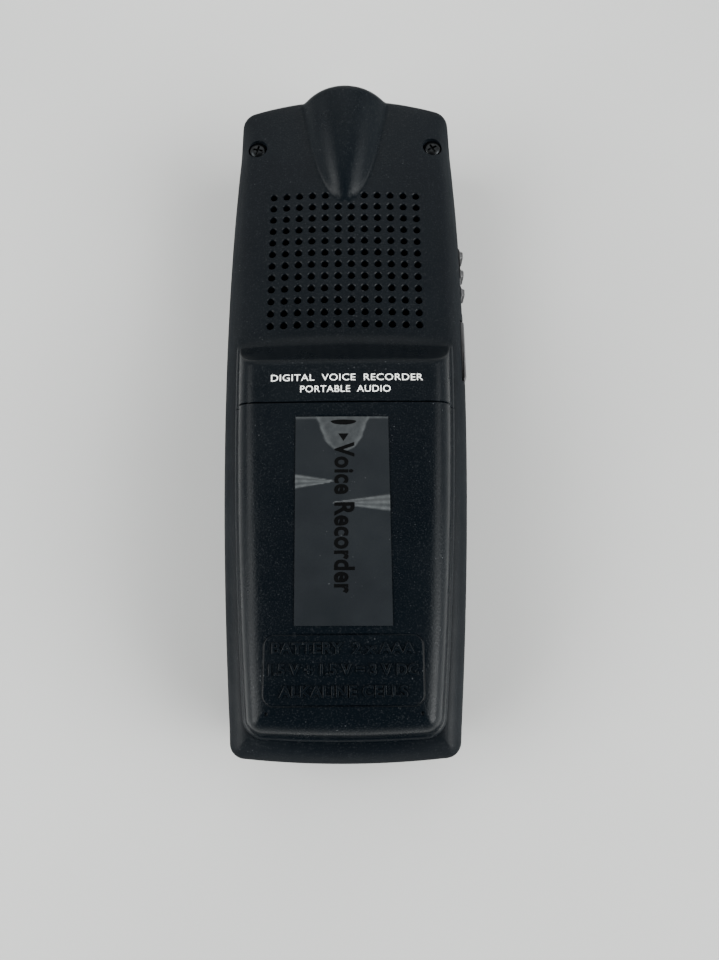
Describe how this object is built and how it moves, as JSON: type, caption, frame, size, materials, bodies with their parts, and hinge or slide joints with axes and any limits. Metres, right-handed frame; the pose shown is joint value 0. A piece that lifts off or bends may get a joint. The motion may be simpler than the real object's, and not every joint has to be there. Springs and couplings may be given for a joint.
{
  "type": "handheld voice recorder",
  "caption": "Slim handheld digital voice recorder with a barrel-shaped case, sliding battery door, speaker grille, hold switch, display and keys.",
  "frame": {"origin": "middle of the case's outline, on the plane its flat front rests on", "axes": "+X towards the side with the hold switch and the computer socket, +Y towards the microphone end, +Z out of the back; the recorder lies face down"},
  "size_m": [0.0364, 0.1014, 0.0208],
  "materials": {
    "case": "fine matte texture",
    "door": "fine matte texture",
    "label": "satin clear tape",
    "window": "clear, polished",
    "display": "polished, opaque backing",
    "light_guide": "translucent white",
    "rubber": "matte",
    "silicone": "matte",
    "key": "satin",
    "rec_key": "satin",
    "board": "solder-masked",
    "chip": "moulded",
    "steel": "plated",
    "screw": "black oxide",
    "cell": "satin sleeve",
    "cone": "pressed paper",
    "foam": "foam",
    "red_wire": "insulated",
    "black_wire": "insulated"
  },
  "bodies": {
    "recorder": {"battery_left": "cell", "battery_right": "cell", "board_connector": "rubber", "board_screw_1": "screw", "board_screw_2": "screw", "board_screw_3": "screw", "bridge_contact": "steel", "bridge_spring": "steel", "capacitor": "chip", "case_screw_left": "screw", "case_screw_right": "screw", "contact_strip": "rubber", "crystal": "steel", "display_glass": "display", "display_window": "window", "earphone_jack": "rubber", "front_case": "case", "hold_switch": "steel", "key_board": "board", "key_mat": "silicone", "led": "display", "light_guide": "light_guide", "light_pipe": "light_guide", "main_board": "board", "memory_chip": "chip", "mic_boot": "rubber", "mic_capsule": "steel", "mic_wire_1": "red_wire", "mic_wire_2": "black_wire", "microphone_jack": "rubber", "minus_contact": "steel", "minus_spring": "steel", "plus_contact": "steel", "processor": "chip", "rear_case": "case", "speaker_cone": "cone", "speaker_frame": "steel", "speaker_gasket": "foam", "speaker_magnet": "steel", "speaker_wire_1": "red_wire", "speaker_wire_2": "black_wire", "usb_socket": "steel", "window_tape": "foam"},
    "door": {"battery_door": "door", "name_label": "label"},
    "hold": {"hold_slider": "rubber"},
    "socket_cover": {"usb_cover": "rubber"},
    "rec_button": {"rec_key": "rec_key"},
    "stop_button": {"stop_key": "key"},
    "play_button": {"play_key": "key"},
    "plus_button": {"plus_key": "key"},
    "minus_button": {"minus_key": "key"},
    "rewind_button": {"rewind_key": "key"},
    "forward_button": {"forward_key": "key"},
    "menu_button": {"menu_key": "key"},
    "folder_button": {"folder_key": "key"},
    "erase_button": {"erase_key": "key"}
  },
  "joints": [
    {"name": "door_slide", "type": "slide", "parent": "recorder", "child": "door", "axis": [0, -1, 0], "range_m": [0, 0.05]},
    {"name": "hold_slide", "type": "slide", "parent": "recorder", "child": "hold", "axis": [0, -1, 0], "range_m": [0, 0.0025]},
    {"name": "socket_cover_hinge", "type": "hinge", "parent": "recorder", "child": "socket_cover", "pos_m": [0.01768, 0.00265, 0.01], "axis": [0, 0, -1], "range_deg": [0, 110]},
    {"name": "rec_press", "type": "slide", "parent": "recorder", "child": "rec_button", "axis": [0, 0, 1], "range_m": [0, 0.0004], "stiffness_N_per_m": 2000},
    {"name": "stop_press", "type": "slide", "parent": "recorder", "child": "stop_button", "axis": [0, 0, 1], "range_m": [0, 0.0004], "stiffness_N_per_m": 2000},
    {"name": "play_press", "type": "slide", "parent": "recorder", "child": "play_button", "axis": [0, 0, 1], "range_m": [0, 0.0004], "stiffness_N_per_m": 2000},
    {"name": "plus_press", "type": "slide", "parent": "recorder", "child": "plus_button", "axis": [0, 0, 1], "range_m": [0, 0.0004], "stiffness_N_per_m": 2000},
    {"name": "minus_press", "type": "slide", "parent": "recorder", "child": "minus_button", "axis": [0, 0, 1], "range_m": [0, 0.0004], "stiffness_N_per_m": 2000},
    {"name": "rewind_press", "type": "slide", "parent": "recorder", "child": "rewind_button", "axis": [0, 0, 1], "range_m": [0, 0.0004], "stiffness_N_per_m": 2000},
    {"name": "forward_press", "type": "slide", "parent": "recorder", "child": "forward_button", "axis": [0, 0, 1], "range_m": [0, 0.0004], "stiffness_N_per_m": 2000},
    {"name": "menu_press", "type": "slide", "parent": "recorder", "child": "menu_button", "axis": [0, 0, 1], "range_m": [0, 0.0004], "stiffness_N_per_m": 2000},
    {"name": "folder_press", "type": "slide", "parent": "recorder", "child": "folder_button", "axis": [0, 0, 1], "range_m": [0, 0.0004], "stiffness_N_per_m": 2000},
    {"name": "erase_press", "type": "slide", "parent": "recorder", "child": "erase_button", "axis": [0, 0, 1], "range_m": [0, 0.0004], "stiffness_N_per_m": 2000}
  ]
}
